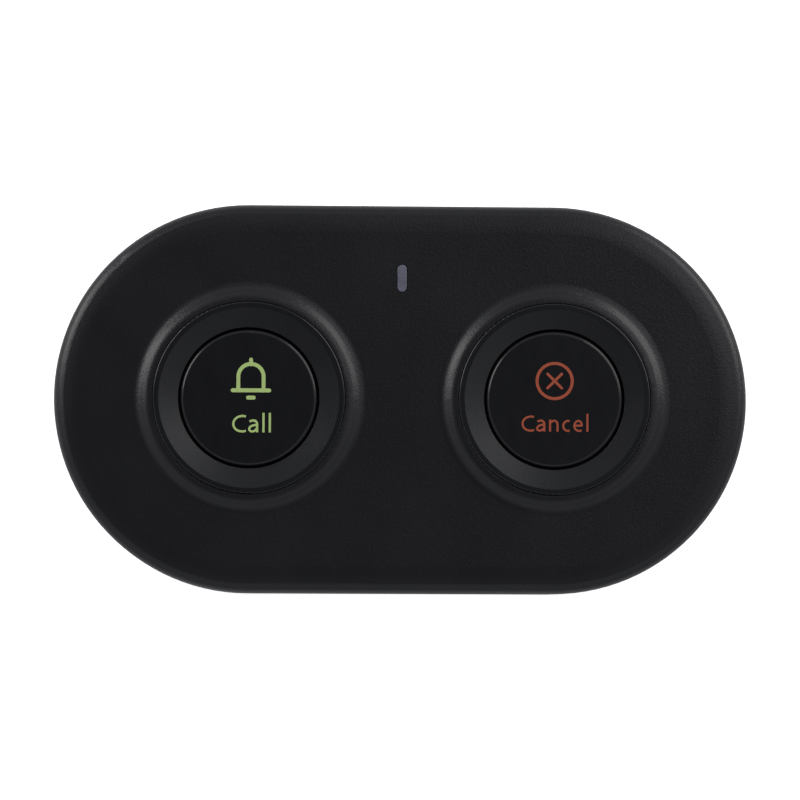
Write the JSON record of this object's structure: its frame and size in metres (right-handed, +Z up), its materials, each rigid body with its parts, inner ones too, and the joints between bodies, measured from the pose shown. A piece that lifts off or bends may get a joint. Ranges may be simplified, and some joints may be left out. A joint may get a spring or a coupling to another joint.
{
  "type": "waiter call button",
  "caption": "Flat obround wireless call transmitter with round call and cancel push buttons in dished collars, a signal lamp and a sliding battery door.",
  "frame": {"origin": "on the surface the transmitter lies on, under the middle of the case", "axes": "+X along the case from the call button to the cancel button, +Y towards the signal lamp, +Z up out of the buttons"},
  "size_m": [0.0856, 0.048, 0.0156],
  "materials": {
    "case_plastic": "fine spark-eroded matte black",
    "collar_plastic": "satin black",
    "cap_plastic": "gloss black, printed symbol and word",
    "lens_plastic": "milky grey, translucent",
    "pad_foam": "black closed-cell foam with adhesive faces",
    "board_laminate": "green solder mask",
    "chip_plastic": "moulded epoxy",
    "tinned_metal": "tin plated",
    "chip_ceramic": "sintered body",
    "crystal_can": "plated can",
    "lamp_body": "white, clear block on top",
    "antenna_wire": "bright wire",
    "switch_plastic": "black moulding",
    "stem_plastic": "natural moulding",
    "spring_steel": "bright sheet",
    "cell_steel": "bright nickel plate",
    "holder_plastic": "black moulding",
    "contact_metal": "plated sheet",
    "screw_steel": "blackened, cross recess"
  },
  "bodies": {
    "case": {"top_cover": "case_plastic", "base_shell": "case_plastic", "call_collar": "collar_plastic", "cancel_collar": "collar_plastic", "lamp_lens": "lens_plastic", "call_end_pad": "pad_foam", "cancel_end_pad": "pad_foam", "circuit_board": "board_laminate", "controller_chip": "chip_plastic", "radio_chip": "chip_plastic", "chip_leads": "tinned_metal", "chip_parts": "chip_ceramic", "crystal": "crystal_can", "status_lamp": "lamp_body", "antenna_coil": "antenna_wire", "call_switch_housing": "switch_plastic", "cancel_switch_housing": "switch_plastic", "call_switch_dome": "spring_steel", "cancel_switch_dome": "spring_steel", "call_switch_plate": "spring_steel", "cancel_switch_plate": "spring_steel", "switch_leads": "tinned_metal", "coin_cell": "cell_steel", "cell_holder": "holder_plastic", "positive_contact": "contact_metal", "negative_contact": "contact_metal", "case_screws": "screw_steel", "board_screws": "screw_steel"},
    "call_button": {"call_cap": "cap_plastic"},
    "cancel_button": {"cancel_cap": "cap_plastic"},
    "call_stem": {"call_switch_stem": "stem_plastic"},
    "cancel_stem": {"cancel_switch_stem": "stem_plastic"},
    "door": {"battery_door": "case_plastic"}
  },
  "joints": [
    {"name": "call_press", "type": "slide", "parent": "case", "child": "call_button", "axis": [0, 0, -1], "range_m": [0, 0.0005], "stiffness_N_per_m": 3200, "deforming": ["call_switch_dome"]},
    {"name": "cancel_press", "type": "slide", "parent": "case", "child": "cancel_button", "axis": [0, 0, -1], "range_m": [0, 0.0005], "stiffness_N_per_m": 3200, "deforming": ["cancel_switch_dome"]},
    {"name": "call_stem_slide", "type": "slide", "parent": "case", "child": "call_stem", "axis": [0, 0, -1], "range_m": [0, 0.0005]},
    {"name": "cancel_stem_slide", "type": "slide", "parent": "case", "child": "cancel_stem", "axis": [0, 0, -1], "range_m": [0, 0.0005]},
    {"name": "battery_door_slide", "type": "slide", "parent": "case", "child": "door", "axis": [0, -1, 0], "range_m": [0, 0.033]}
  ],
  "couplings": [
    {"joint": "call_stem_slide", "follows": "call_press", "ratio": 1},
    {"joint": "cancel_stem_slide", "follows": "cancel_press", "ratio": 1}
  ]
}
